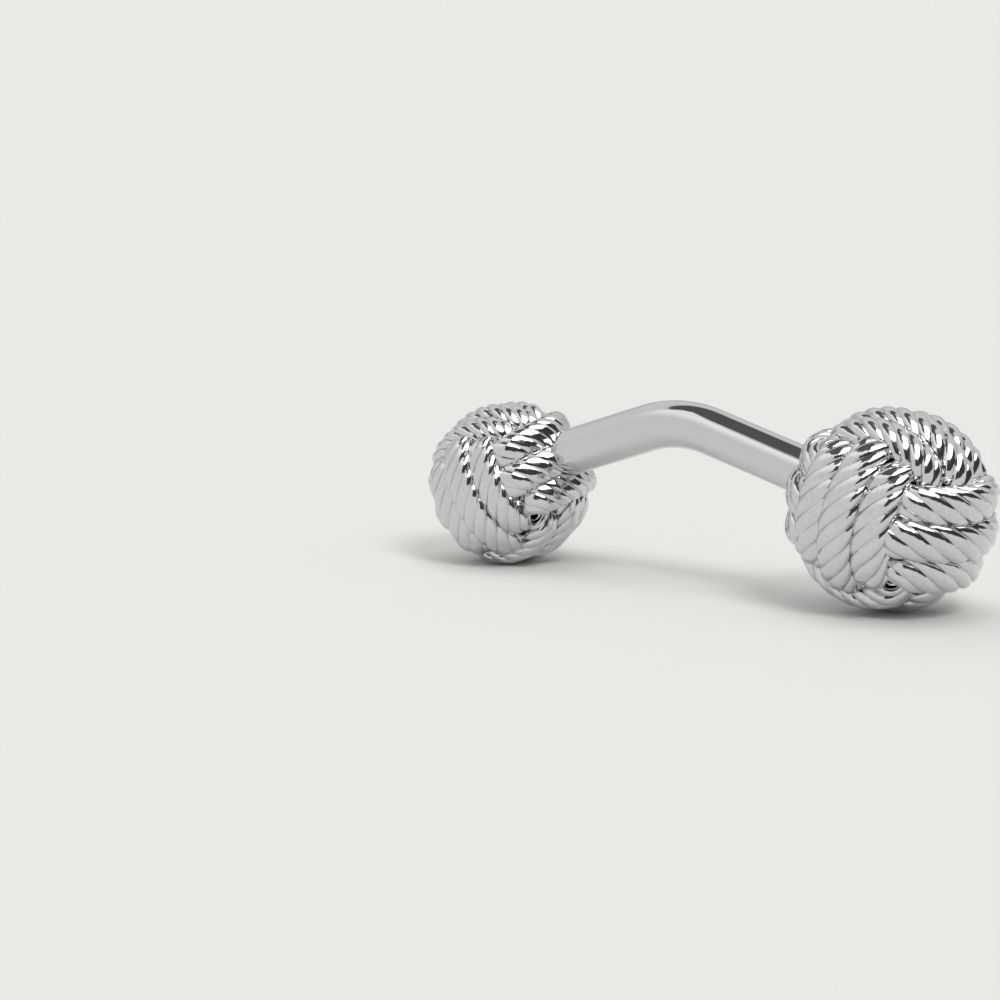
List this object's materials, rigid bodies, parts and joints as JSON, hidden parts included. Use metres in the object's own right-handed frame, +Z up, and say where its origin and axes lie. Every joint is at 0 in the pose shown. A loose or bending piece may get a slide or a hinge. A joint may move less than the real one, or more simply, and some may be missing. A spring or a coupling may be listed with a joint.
{
  "type": "cufflink",
  "caption": "Rigid cufflink: a large and a small rope-knot ball joined by a bent round bar that passes through the buttonholes of a shirt cuff.",
  "frame": {"origin": "middle of the bounding box on the surface that the knots rest on", "axes": "+X level from the small knot to the large knot, +Z up with the bar's bend uppermost"},
  "size_m": [0.0349, 0.0104, 0.0105],
  "materials": {
    "polished_rope": "polished white plating over rope-shaped metal",
    "polished_bar": "polished white plating on a round bar",
    "core_metal": "bare turned metal, hidden under the ropes"
  },
  "bodies": {
    "root": {"bent_bar": "polished_bar", "large_core": "core_metal", "large_end_rope_1": "polished_rope", "large_end_rope_2": "polished_rope", "large_end_rope_3": "polished_rope", "large_bar_rope_1": "polished_rope", "large_bar_rope_2": "polished_rope", "large_bar_rope_3": "polished_rope", "large_left_rope_1": "polished_rope", "large_left_rope_2": "polished_rope", "large_left_rope_3": "polished_rope", "large_right_rope_1": "polished_rope", "large_right_rope_2": "polished_rope", "large_right_rope_3": "polished_rope", "large_top_rope_1": "polished_rope", "large_top_rope_2": "polished_rope", "large_top_rope_3": "polished_rope", "large_bottom_rope_1": "polished_rope", "large_bottom_rope_2": "polished_rope", "large_bottom_rope_3": "polished_rope", "small_core": "core_metal", "small_end_rope_1": "polished_rope", "small_end_rope_2": "polished_rope", "small_end_rope_3": "polished_rope", "small_bar_rope_1": "polished_rope", "small_bar_rope_2": "polished_rope", "small_bar_rope_3": "polished_rope", "small_left_rope_1": "polished_rope", "small_left_rope_2": "polished_rope", "small_left_rope_3": "polished_rope", "small_right_rope_1": "polished_rope", "small_right_rope_2": "polished_rope", "small_right_rope_3": "polished_rope", "small_top_rope_1": "polished_rope", "small_top_rope_2": "polished_rope", "small_top_rope_3": "polished_rope", "small_bottom_rope_1": "polished_rope", "small_bottom_rope_2": "polished_rope", "small_bottom_rope_3": "polished_rope"}
  },
  "joints": []
}
